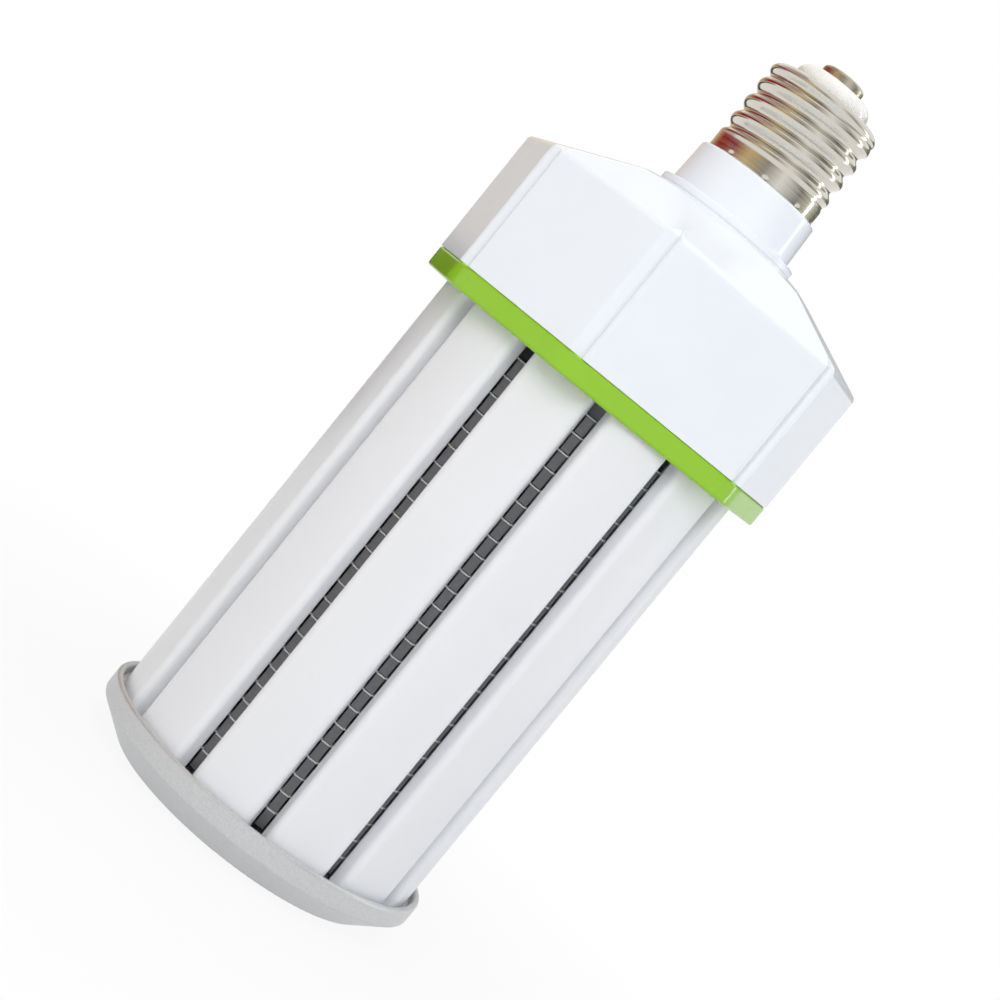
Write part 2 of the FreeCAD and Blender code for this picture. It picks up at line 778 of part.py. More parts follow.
os.makedirs("parts", exist_ok=True)
single_pieces = [driver_housing, trim_ring, top_plate, core_tube, end_cap, end_cover, end_led_board,
                 screw_shell, base_insulator, centre_contact, driver_board, transformer, choke]
grouped_pieces = [cooling_fins, led_chips, end_led_chips, capacitors, board_standoffs, core_screws,
                  end_screws, housing_screws, board_screws, base_leads, end_leads]
for piece in single_pieces:
    save(piece.__name__, piece())
for piece in grouped_pieces:
    save(piece.__name__, Part.makeCompound(piece()))
for piece in (bar_rail, led_board, bar_diffuser):
    for k in range(bar_count):
        save("%s_%02d" % (piece.__name__, k + 1), piece(k))
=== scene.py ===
import math

import bmesh
import bpy
from bpy.props import FloatProperty, FloatVectorProperty, IntProperty, PointerProperty
from mathutils import Matrix, Vector


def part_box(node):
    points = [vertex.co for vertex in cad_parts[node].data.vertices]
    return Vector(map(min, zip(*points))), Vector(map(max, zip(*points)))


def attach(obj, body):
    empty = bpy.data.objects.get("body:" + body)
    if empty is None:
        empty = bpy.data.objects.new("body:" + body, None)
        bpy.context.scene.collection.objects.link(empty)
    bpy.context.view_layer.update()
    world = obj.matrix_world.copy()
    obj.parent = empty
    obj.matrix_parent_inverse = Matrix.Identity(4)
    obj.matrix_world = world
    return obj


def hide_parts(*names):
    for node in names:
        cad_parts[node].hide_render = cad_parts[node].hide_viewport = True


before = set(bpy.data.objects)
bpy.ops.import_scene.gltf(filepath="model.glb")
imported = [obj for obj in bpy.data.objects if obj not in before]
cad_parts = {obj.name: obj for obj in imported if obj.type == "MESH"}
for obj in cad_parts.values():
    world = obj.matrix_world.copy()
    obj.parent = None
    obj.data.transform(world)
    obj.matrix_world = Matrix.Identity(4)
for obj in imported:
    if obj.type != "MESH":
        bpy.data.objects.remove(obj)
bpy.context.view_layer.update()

bl_info = {
    "name": "Corn Lamp Looks",
    "version": (1, 0, 0),
    "blender": (4, 5, 0),
    "location": "View3D > Sidebar > Corn Lamp",
    "description": "Dresses a corn lamp with a large screw base and sets up a plain studio round it",
    "category": "Object",
}

MM = 0.001
BARS = ["%02d" % (k + 1) for k in range(12)]
SHELL_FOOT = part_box("screw_shell")[0].z
FIN_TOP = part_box("cooling_fins")[1].z
SAME_PLACE = 1e-6
SHOULDER_STEPS = 10
# Turn of the first stake mark as a share of their spacing, and the marks' height in half widths
STAKE_TURN = 0.75
STAKE_RISE = 1.2
# Depth of the fine relief that casting, rolling and glazing leave
FINE_RELIEF = 0.05 * MM

# Inside of the driver: nodes, finish, its two tints, grain and roughness
DRIVER_FINISHES = (
    (["driver_board"], "Glass laminate", "#3C7A45", "#2F6539", 0.8 * MM, 0.4),
    (["transformer"], "Winding tape", "#D8B53C", "#B8962C", 2.0 * MM, 0.45),
    (["choke"], "Ferrite", "#4A4744", "#363432", 0.4 * MM, 0.6),
    (["capacitors"], "Shrink sleeve", "#22262C", "#181B20", 1.5 * MM, 0.3),
    (["base_leads", "end_leads"], "Silicone insulation", "#E4E2DC", "#D5D2CA", 1.0 * MM, 0.5),
)

# The stage, in metres
LAMP_MIDDLE = Vector((0.0, 0.0, 0.146))
SENSOR_MM = 36.0
FLOOR_REACH = 6.0
FLOOR_DROP = 0.2 * MM
# From how near to how far the floor's shadow fades, and how much of the white shows at each
SHADOW_NEAR, SHADOW_FAR = 0.05, 0.3
WHITE_NEAR, WHITE_FAR = 0.9, 1.0
# Lamps: name, place, width and height, colour, and whether gloss mirrors the lamp
LAMPS = (
    ("Key", (-0.05, -1.0, 0.85), (0.9, 0.7), "#FFFFFF", False),
    ("Top", (0.0, -0.1, 1.1), (0.8, 0.8), "#FFFFFF", False),
    ("Side", (0.8, 0.25, 0.3), (0.08, 0.9), "#F4F8FF", True),
)
# Bands that only gloss mirrors: name, foot, top, and colours by the angle round the lamp in degrees,
# 0 in front and positive to the right
BAND_RADIUS = 1.2
BAND_STEPS = 96
BANDS = (
    ("Shade", 0.0, 0.188, ((-178, "#FFFFFF"), (-165, "#46342A"), (-105, "#46342A"), (-92, "#FFFFFF"))),
    ("Screen", 0.188, 0.345, ((-178, "#FFFFFF"), (-165, "#CFC3B9"), (-105, "#CFC3B9"), (-92, "#FFFFFF"))),
    ("Room", 0.345, 0.7, ((-160, "#D8C49C"), (-125, "#A02014"), (-80, "#902014"), (-50, "#D8BC7C"),
                          (-10, "#908880"), (25, "#FFFFFF"), (70, "#787670"), (110, "#E2E4D0"),
                          (145, "#706E62"), (175, "#8C8A80"))),
    ("Loft", 0.7, 2.6, ((-160, "#FFFFFF"), (-120, "#C4B0AA"), (-80, "#BCA49C"), (-50, "#E0D2B0"),
                        (-10, "#B4B0AC"), (25, "#FFFFFF"), (70, "#B0B0AC"), (110, "#FFFFFF"))),
)


def linear(hex_colour):
    """Linear RGBA of an sRGB hex colour."""
    channels = [int(hex_colour[i:i + 2], 16) / 255 for i in (1, 3, 5)]
    straight = [c / 12.92 if c <= 0.04045 else ((c + 0.055) / 1.055) ** 2.4 for c in channels]
    return (*straight, 1.0)


def darker(tint, share):
    """Colour at a share of its brightness."""
    return (*(c * share for c in tint[:3]), 1.0)


def add(tree, kind, inputs=None, **settings):
    """Adds a node with its settings; an input is a plain value or the socket that feeds it."""
    node = tree.nodes.new(kind)
    for key, value in settings.items():
        setattr(node, key, value)
    for key, value in (inputs or {}).items():
        if isinstance(value, bpy.types.NodeSocket):
            tree.links.new(value, node.inputs[key])
        else:
            node.inputs[key].default_value = value
    return node


# Settings a user would change

def colour(name, text, hex_colour):
    return FloatVectorProperty(name=name, description=text, subtype="COLOR", size=4, min=0.0, max=1.0,
                               default=linear(hex_colour))


def length(name, text, millimetres):
    return FloatProperty(name=name, description=text, unit="LENGTH", subtype="DISTANCE", precision=5,
                         default=millimetres * MM)


def angle(name, text, degrees):
    return FloatProperty(name=name, description=text, unit="ROTATION", subtype="ANGLE",
                         default=math.radians(degrees))


def power(name, text, watts):
    return FloatProperty(name=name, description=text, unit="POWER", subtype="POWER", default=watts)


class LampColours(bpy.types.PropertyGroup):
    housing: colour("Housing", "White of the moulded driver housing", "#F2F8FF")
    trim: colour("Trim ring", "Green of the ring under the housing", "#93CC14")
    cover: colour("Bar covers", "Tint of the frosted covers", "#F1F4F9")
    cap: colour("End cap", "Silver of the painted end cap", "#D0D2D4")
    # The fins' colour is darkened to paint the shade that falls into the slots between the bars.
    fin: colour("Fins", "Dull sheet of the fins between the bars", "#707174")
    # Painted highlight along each fold of the fins.
    fold: colour("Folds", "Rubbed bright line along each fold of the fins", "#FAFBFC")
    bare: colour("Bare aluminium", "Core, rails and plate", "#DDDFE2")
    shell: colour("Screw shell", "Nickel of the screw shell", "#DAD6CC")
    contact: colour("Contact", "Tinned brass of the centre contact", "#C8BFAE")
    insulator: colour("Insulator", "Glaze of the base insulator", "#F5F5F2")


class FinSizes(bpy.types.PropertyGroup):
    pitch: length("Pitch", "Height from one fin to the next", 6.29)
    # Height of the painted highlight under each fold, and depth where it has faded into the painted
    # shade.
    fold_highlight: length("Rubbed", "Height of the bright line along a fold", 0.3)
    dull: length("Dull", "Depth under the fold where the sheet is fully dull", 0.6)


class ShellSizes(bpy.types.PropertyGroup):
    crest: length("Crest radius", "Radius over the thread's crests", 19.75)
    depth: length("Thread depth", "Height of a crest over the root", 1.75)
    pitch: length("Pitch", "Rise of one thread turn", 6.35)
    start: length("Thread start", "Height over the foot of a crest at the lamp's right", 2.1)
    root: FloatProperty(name="Root", description="How narrow the roots are against the crests",
                        default=1.4)
    skirt: length("Skirt radius", "Radius of the plain skirt", 19.55)
    skirt_height: length("Skirt height", "Height of the plain skirt", 5.3)
    span: length("Thread end", "Height over the foot where the thread ends", 30.0015)
    fade: length("Run-out", "Length over which the thread fades in and out", 2.0)
    shoulder: length("Shoulder", "Height of the shoulder over the thread", 3.0)
    rim: length("Rim radius", "Radius of the rim at the insulator", 14.2)
    sheet: length("Sheet", "Thickness of the rolled sheet", 0.5)
    stake_depth: length("Stake depth", "Depth of a punched stake mark", 0.3)
    stake_width: length("Stake width", "Half width of a punched stake mark", 0.5)
    stakes: IntProperty(name="Stakes", description="Punched stake marks round the skirt", default=9,
                        min=0)
    columns: IntProperty(name="Columns", description="Steps round the shell", default=288, min=24)
    rows: IntProperty(name="Rows", description="Steps up the thread", default=88, min=12)


class StageSettings(bpy.types.PropertyGroup):
    camera_place: FloatVectorProperty(name="Camera", description="Place of the camera",
                                      subtype="TRANSLATION", unit="LENGTH",
                                      default=(-0.00055, -0.675, 0.1755))
    camera_tilt: angle("Tilt", "Angle of the view from straight down", 85.95)
    camera_roll: angle("Roll", "Roll of the camera about its view", 39.2)
    lens: FloatProperty(name="Lens", description="Focal length of the camera", subtype="DISTANCE_CAMERA",
                        unit="CAMERA", default=79.96)
    fill: FloatProperty(name="Fill", description="Strength of the even light from all sides",
                        default=0.66)
    key: power("Key", "Power of the large soft light in front", 6.2)
    top: power("Top", "Power of the light overhead", 1.1)
    side: power("Side", "Power of the strip at the right", 1.0)


# Materials

def surface(name, **values):
    """Material with a plain shader; returns it with its tree, shader and object coordinates."""
    material = bpy.data.materials.new(name)
    material.use_nodes = True
    tree = material.node_tree
    shader = tree.nodes["Principled BSDF"]
    for key, value in values.items():
        shader.inputs[key.replace("_", " ").title().replace("Ior", "IOR")].default_value = value
    place = add(tree, "ShaderNodeTexCoord").outputs["Object"]
    return material, tree, shader, place


def moulded_polycarbonate(name, tint, gloss, flow_size=18 * MM, ripple_size=5 * MM,
                          groove_reach=1.6 * MM):
    """Injection-moulded polycarbonate: even colour, high gloss, a faint ripple, and painted shade in its
    grooves.
    """
    material, tree, shader, place = surface(name, ior=1.58)
    flow = add(tree, "ShaderNodeTexNoise", {"Vector": place, "Scale": 1 / flow_size, "Detail": 2.0})
    deeper = darker(tint, 0.965)
    mix = add(tree, "ShaderNodeMix", {"Factor": flow.outputs["Fac"], "A": tint, "B": deeper},
              data_type="RGBA")
    # Painted shade: ambient occlusion darkens the colour in grooves and creases, where shade falls.
    open_sky = add(tree, "ShaderNodeAmbientOcclusion", {"Distance": groove_reach}, samples=8,
                   only_local=True)
    groove_shade = add(tree, "ShaderNodeMapRange", {"Value": open_sky.outputs["AO"], "From Min": 0.45,
                                              "From Max": 0.85, "To Min": 0.75, "To Max": 0.0})
    painted_shade = darker(tint, 0.55)
    with_shade = add(tree, "ShaderNodeMix", {"Factor": groove_shade.outputs["Result"], "A": mix.outputs["Result"],
                                          "B": painted_shade}, data_type="RGBA")
    tree.links.new(with_shade.outputs["Result"], shader.inputs["Base Color"])
    haze = add(tree, "ShaderNodeMapRange", {"Value": flow.outputs["Fac"], "From Min": 0.3,
                                            "From Max": 0.7, "To Min": gloss, "To Max": gloss + 0.06})
    tree.links.new(haze.outputs["Result"], shader.inputs["Roughness"])
    ripple = add(tree, "ShaderNodeTexNoise", {"Vector": place, "Scale": 1 / ripple_size, "Detail": 1.0})
    bump = add(tree, "ShaderNodeBump", {"Height": ripple.outputs["Fac"], "Strength": 0.05,
                                        "Distance": 2 * FINE_RELIEF})
    tree.links.new(bump.outputs["Normal"], shader.inputs["Normal"])
    return material


def frosted_polycarbonate(name, tint, cloud_size=25 * MM, line_size=0.8 * MM):
    """Extruded opal polycarbonate: milky, satin, with faint die lines along its length."""
    material, tree, shader, place = surface(name, ior=1.58, subsurface_weight=0.2)
    shader.inputs["Subsurface Radius"].default_value = (2.5, 2.5, 2.5)
    shader.inputs["Subsurface Scale"].default_value = MM
    cloud = add(tree, "ShaderNodeTexNoise", {"Vector": place, "Scale": 1 / cloud_size, "Detail": 2.0})
    deeper = darker(tint, 0.975)
    mix = add(tree, "ShaderNodeMix", {"Factor": cloud.outputs["Fac"], "A": tint, "B": deeper},
              data_type="RGBA")
    tree.links.new(mix.outputs["Result"], shader.inputs["Base Color"])
    drawn = add(tree, "ShaderNodeMapping", {"Vector": place, "Scale": (1.0, 1.0, 0.01)})
    lines = add(tree, "ShaderNodeTexNoise", {"Vector": drawn.outputs["Vector"], "Scale": 1 / line_size,
                                             "Detail": 2.0})
    rough = add(tree, "ShaderNodeMapRange", {"Value": lines.outputs["Fac"], "From Min": 0.3,
                                             "From Max": 0.7, "To Min": 0.3, "To Max": 0.4})
    tree.links.new(rough.outputs["Result"], shader.inputs["Roughness"])
    bump = add(tree, "ShaderNodeBump", {"Height": lines.outputs["Fac"], "Strength": 0.06,
                                        "Distance": FINE_RELIEF})
    tree.links.new(bump.outputs["Normal"], shader.inputs["Normal"])
    return material


def silver_paint(name, tint, flake_size=0.5 * MM, peel_size=1.2 * MM):
    """Silver lacquer on cast aluminium: a soft sheen broken by flakes, drawn coarse enough to show."""
    material, tree, shader, place = surface(name, metallic=0.55)
    flake = add(tree, "ShaderNodeTexVoronoi", {"Vector": place, "Scale": 1 / flake_size})
    dark = darker(tint, 0.86)
    mix = add(tree, "ShaderNodeMix", {"Factor": flake.outputs["Color"], "A": dark, "B": tint},
              data_type="RGBA")
    tree.links.new(mix.outputs["Result"], shader.inputs["Base Color"])
    rough = add(tree, "ShaderNodeMapRange", {"Value": flake.outputs["Color"], "To Min": 0.36,
                                             "To Max": 0.5})
    tree.links.new(rough.outputs["Result"], shader.inputs["Roughness"])
    peel = add(tree, "ShaderNodeTexNoise", {"Vector": place, "Scale": 1 / peel_size, "Detail": 2.0})
    bump = add(tree, "ShaderNodeBump", {"Height": peel.outputs["Fac"], "Strength": 0.08,
                                        "Distance": FINE_RELIEF})
    tree.links.new(bump.outputs["Normal"], shader.inputs["Normal"])
    return material


def worked_metal(name, tint, gloss, streak, bump_strength, line_size=0.6 * MM):
    """Bare or plated metal: its gloss varies along the streaks that rolling, drawing or turning left."""
    material, tree, shader, place = surface(name, metallic=1.0)
    drawn = add(tree, "ShaderNodeMapping", {"Vector": place, "Scale": streak})
    lines = add(tree, "ShaderNodeTexNoise", {"Vector": drawn.outputs["Vector"], "Scale": 1 / line_size,
                                             "Detail": 3.0})
    dark = darker(tint, 0.85)
    mix = add(tree, "ShaderNodeMix", {"Factor": lines.outputs["Fac"], "A": dark, "B": tint},
              data_type="RGBA")
    tree.links.new(mix.outputs["Result"], shader.inputs["Base Color"])
    rough = add(tree, "ShaderNodeMapRange", {"Value": lines.outputs["Fac"], "From Min": 0.3,
                                             "From Max": 0.7, "To Min": gloss, "To Max": gloss + 0.1})
    tree.links.new(rough.outputs["Result"], shader.inputs["Roughness"])
    bump = add(tree, "ShaderNodeBump", {"Height": lines.outputs["Fac"], "Strength": bump_strength,
                                        "Distance": FINE_RELIEF})
    tree.links.new(bump.outputs["Normal"], shader.inputs["Normal"])
    return material


def folded_sheet(name, face, fold, sizes, grain_size=1.5 * MM):
    """Rolled aluminium sheet: flat faces darkened as painted shade, and a painted highlight along each
    fold.
    """
    material, tree, shader, place = surface(name)
    apart = add(tree, "ShaderNodeSeparateXYZ", {"Vector": place})
    below = add(tree, "ShaderNodeMath", {0: FIN_TOP, 1: apart.outputs["Z"]}, operation="SUBTRACT")
    step = add(tree, "ShaderNodeMath", {0: below.outputs[0], 1: sizes.pitch, 2: 0.0}, operation="WRAP")
    # Painted highlight: a bright, smoother, less metallic band just under the top of each fin.
    fold_highlight = add(tree, "ShaderNodeMapRange", {"Value": step.outputs[0], "From Min": sizes.fold_highlight,
                                              "From Max": sizes.dull, "To Min": 1.0, "To Max": 0.0})
    grain = add(tree, "ShaderNodeTexNoise", {"Vector": place, "Scale": 1 / grain_size, "Detail": 3.0})
    # Painted shade: the face colour is darkened, and the grain varies it at random.
    dark = darker(face, 0.7)
    dull = add(tree, "ShaderNodeMix", {"Factor": grain.outputs["Fac"], "A": dark, "B": face},
               data_type="RGBA")
    mix = add(tree, "ShaderNodeMix", {"Factor": fold_highlight.outputs["Result"], "A": dull.outputs["Result"],
                                      "B": fold}, data_type="RGBA")
    tree.links.new(mix.outputs["Result"], shader.inputs["Base Color"])
    rough = add(tree, "ShaderNodeMapRange", {"Value": fold_highlight.outputs["Result"], "To Min": 0.45,
                                             "To Max": 0.35})
    tree.links.new(rough.outputs["Result"], shader.inputs["Roughness"])
    sheen = add(tree, "ShaderNodeMapRange", {"Value": fold_highlight.outputs["Result"], "To Min": 0.85,
                                             "To Max": 0.2})
    tree.links.new(sheen.outputs["Result"], shader.inputs["Metallic"])
    bump = add(tree, "ShaderNodeBump", {"Height": grain.outputs["Fac"], "Strength": 0.1,
                                        "Distance": FINE_RELIEF})
    tree.links.new(bump.outputs["Normal"], shader.inputs["Normal"])
    return material


def glazed_ceramic(name, tint, wave_size=6 * MM):
    """Glazed white ceramic: milky body under a clear glossy glaze with a slow wave in it."""
    material, tree, shader, place = surface(name, ior=1.5, roughness=0.08, coat_weight=0.4)
    wave = add(tree, "ShaderNodeTexNoise", {"Vector": place, "Scale": 1 / wave_size, "Detail": 1.0})
    deeper = darker(tint, 0.97)
    mix = add(tree, "ShaderNodeMix", {"Factor": wave.outputs["Fac"], "A": tint, "B": deeper},
              data_type="RGBA")
    tree.links.new(mix.outputs["Result"], shader.inputs["Base Color"])
    bump = add(tree, "ShaderNodeBump", {"Height": wave.outputs["Fac"], "Strength": 0.1,
                                        "Distance": 4 * FINE_RELIEF})
    tree.links.new(bump.outputs["Normal"], shader.inputs["Normal"])
    return material


def speckled(name, tint, second, grain, rough):
    """Board laminate, winding tape, sleeves and the like: a dull surface mottled at its own grain."""
    material, tree, shader, place = surface(name, roughness=rough)
    mottle = add(tree, "ShaderNodeTexNoise", {"Vector": place, "Scale": 1 / grain, "Detail": 3.0})
    mix = add(tree, "ShaderNodeMix", {"Factor": mottle.outputs["Fac"], "A": tint, "B": second},
              data_type="RGBA")
    tree.links.new(mix.outputs["Result"], shader.inputs["Base Color"])
    bump = add(tree, "ShaderNodeBump", {"Height": mottle.outputs["Fac"], "Strength": 0.1,
                                        "Distance": FINE_RELIEF})
    tree.links.new(bump.outputs["Normal"], shader.inputs["Normal"])
    return material


def dress(names, material):
    """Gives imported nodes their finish."""
    for name in names:
        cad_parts[name].material_slots[0].material = material


def placed(name, mesh_builder, material, slot, *nodes):
    """New piece from a finished bmesh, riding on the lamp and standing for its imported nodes."""
    mesh = bpy.data.meshes.new(name)
    mesh_builder.to_mesh(mesh)
    mesh_builder.free()
    mesh.shade_smooth()
    mesh.materials.append(material)
    piece = bpy.data.objects.new(name, mesh)
    bpy.context.scene.collection.objects.link(piece)
    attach(piece, "root")
    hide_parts(*nodes)
    return piece


# Pieces

class LAMP_OT_housing(bpy.types.Operator):
    """Finishes the moulded driver housing"""
    bl_idname = "corn_lamp.housing"
    bl_label = "Driver housing"

    def execute(self, context):
        tint = tuple(context.scene.lamp_colours.housing)
        dress(["driver_housing"], moulded_polycarbonate("White moulded polycarbonate", tint, 0.16))
        return {"FINISHED"}


class LAMP_OT_trim_ring(bpy.types.Operator):
    """Finishes the green ring under the housing"""
    bl_idname = "corn_lamp.trim_ring"
    bl_label = "Trim ring"

    def execute(self, context):
        tint = tuple(context.scene.lamp_colours.trim)
        dress(["trim_ring"], moulded_polycarbonate("Green moulded polycarbonate", tint, 0.14))
        return {"FINISHED"}


class LAMP_OT_light_bars(bpy.types.Operator):
    """Finishes covers, rails, boards and chips of the light bars"""
    bl_idname = "corn_lamp.light_bars"
    bl_label = "Light bars"

    def execute(self, context):
        colours = context.scene.lamp_colours
        cover = frosted_polycarbonate("Frosted opal polycarbonate", tuple(colours.cover))
        dress(["bar_diffuser_" + k for k in BARS] + ["end_cover"], cover)
        drawn = worked_metal("Drawn aluminium", tuple(colours.bare), 0.32, (1.0, 1.0, 0.01), 0.1)
        dress(["bar_rail_" + k for k in BARS] + ["core_tube", "top_plate"], drawn)
        board = speckled("White solder mask", linear("#E9EAE6"), linear("#DCDED8"), 0.6 * MM, 0.4)
        dress(["led_board_" + k for k in BARS] + ["end_led_board"], board)
        chip = speckled("Phosphor in silicone", linear("#E8C94A"), linear("#D9B536"), 0.2 * MM, 0.3)
        dress(["led_chips", "end_led_chips"], chip)
        return {"FINISHED"}


class LAMP_OT_fins(bpy.types.Operator):
    """Finishes the stack of cooling fins"""
    bl_idname = "corn_lamp.fins"
    bl_label = "Cooling fins"

    def execute(self, context):
        colours = context.scene.lamp_colours
        sheet = folded_sheet("Rolled aluminium sheet", tuple(colours.fin), tuple(colours.fold),
                             context.scene.fin_sizes)
        dress(["cooling_fins"], sheet)
        return {"FINISHED"}


class LAMP_OT_end_cap(bpy.types.Operator):
    """Finishes the silver cap at the closed end"""
    bl_idname = "corn_lamp.end_cap"
    bl_label = "End cap"

    def execute(self, context):
        dress(["end_cap"], silver_paint("Silver lacquer", tuple(context.scene.lamp_colours.cap)))
        return {"FINISHED"}


class LAMP_OT_screw_shell(bpy.types.Operator):
    """Models the rolled screw shell with its thread and stake marks"""
    bl_idname = "corn_lamp.screw_shell"
    bl_label = "Screw shell"

    def execute(self, context):
        sizes = context.scene.shell_sizes
        build = bmesh.new()
        thread_top = SHELL_FOOT + sizes.span
        ends = [build.verts.new((sizes.skirt, 0.0, z)) for z in (SHELL_FOOT, thread_top)]
        bmesh.ops.subdivide_edges(build, edges=[build.edges.new(ends)], cuts=sizes.rows)
        highest = max(build.verts, key=lambda v: v.co.z)
        centre = Vector((sizes.rim, 0.0, thread_top))
        bmesh.ops.spin(build, geom=[highest], cent=centre, axis=(0, 1, 0), angle=-math.pi / 2,
                       steps=SHOULDER_STEPS)
        reach = sizes.skirt - sizes.rim
        above = [v for v in build.verts if v.co.z > thread_top + SAME_PLACE]
        bmesh.ops.scale(build, vec=(1, 1, sizes.shoulder / reach), verts=above,
                        space=Matrix.Translation(-centre))
        bmesh.ops.spin(build, geom=build.verts[:] + build.edges[:], cent=(0, 0, 0), axis=(0, 0, 1),
                       angle=2 * math.pi, steps=sizes.columns, use_merge=True)
        bmesh.ops.remove_doubles(build, verts=build.verts[:], dist=SAME_PLACE)
        for vert in build.verts:
            self.roll(vert, sizes)
        bmesh.ops.recalc_face_normals(build, faces=build.faces[:])
        material = worked_metal("Nickel-plated brass", tuple(context.scene.lamp_colours.shell), 0.1,
                                (0.03, 0.03, 1.0), 0.08)
        shell = placed("rolled_screw_shell", build, material, "shell_metal", "screw_shell")
        wall = shell.modifiers.new("Sheet", "SOLIDIFY")
        wall.thickness = sizes.sheet
        wall.offset = -1.0
        return {"FINISHED"}

    def roll(self, vert, sizes):
        """Presses the thread and the stake marks into one point of the plain shell."""
        height = vert.co.z - SHELL_FOOT
        if height > sizes.span:
            return
        turn = math.atan2(vert.co.y, vert.co.x)
        rise = min(max((height - sizes.skirt_height) / sizes.fade, 0.0), 1.0)
        fall = min(max((sizes.span - height) / sizes.fade, 0.0), 1.0)
        wave = math.cos(2 * math.pi * (height - sizes.start) / sizes.pitch - turn)
        threaded = sizes.crest - sizes.depth * ((1 - wave) / 2) ** sizes.root
        radius = sizes.skirt + (threaded - sizes.skirt) * min(rise, fall)
        for k in range(sizes.stakes):
            mark = 2 * math.pi * (k + STAKE_TURN) / sizes.stakes
            off = (turn - mark + math.pi) % (2 * math.pi) - math.pi
            across, up = off * sizes.skirt, height - STAKE_RISE * sizes.stake_width
            away = math.hypot(across, up) / sizes.stake_width
            radius -= sizes.stake_depth * math.exp(-away ** 2)
        vert.co.x = radius * math.cos(turn)
        vert.co.y = radius * math.sin(turn)


class LAMP_OT_base_end(bpy.types.Operator):
    """Finishes the insulator and the centre contact"""
    bl_idname = "corn_lamp.base_end"
    bl_label = "Insulator and contact"

    def execute(self, context):
        colours = context.scene.lamp_colours
        dress(["base_insulator"], glazed_ceramic("Glazed white ceramic", tuple(colours.insulator)))
        tinned = worked_metal("Tinned brass", tuple(colours.contact), 0.22, (1.0, 1.0, 1.0), 0.3)
        dress(["centre_contact"], tinned)
        return {"FINISHED"}


class LAMP_OT_driver(bpy.types.Operator):
    """Finishes the driver inside the housing, the fixings and the leads"""
    bl_idname = "corn_lamp.driver"
    bl_label = "Driver and fixings"

    def execute(self, context):
        for names, finish, tint, second, grain, rough in DRIVER_FINISHES:
            dress(names, speckled(finish, linear(tint), linear(second), grain, rough))
        dress(["board_screws", "board_standoffs", "core_screws", "end_screws", "housing_screws"],
              worked_metal("Zinc-plated steel", linear("#BFC3C6"), 0.25, (1.0, 1.0, 0.05), 0.1))
        return {"FINISHED"}


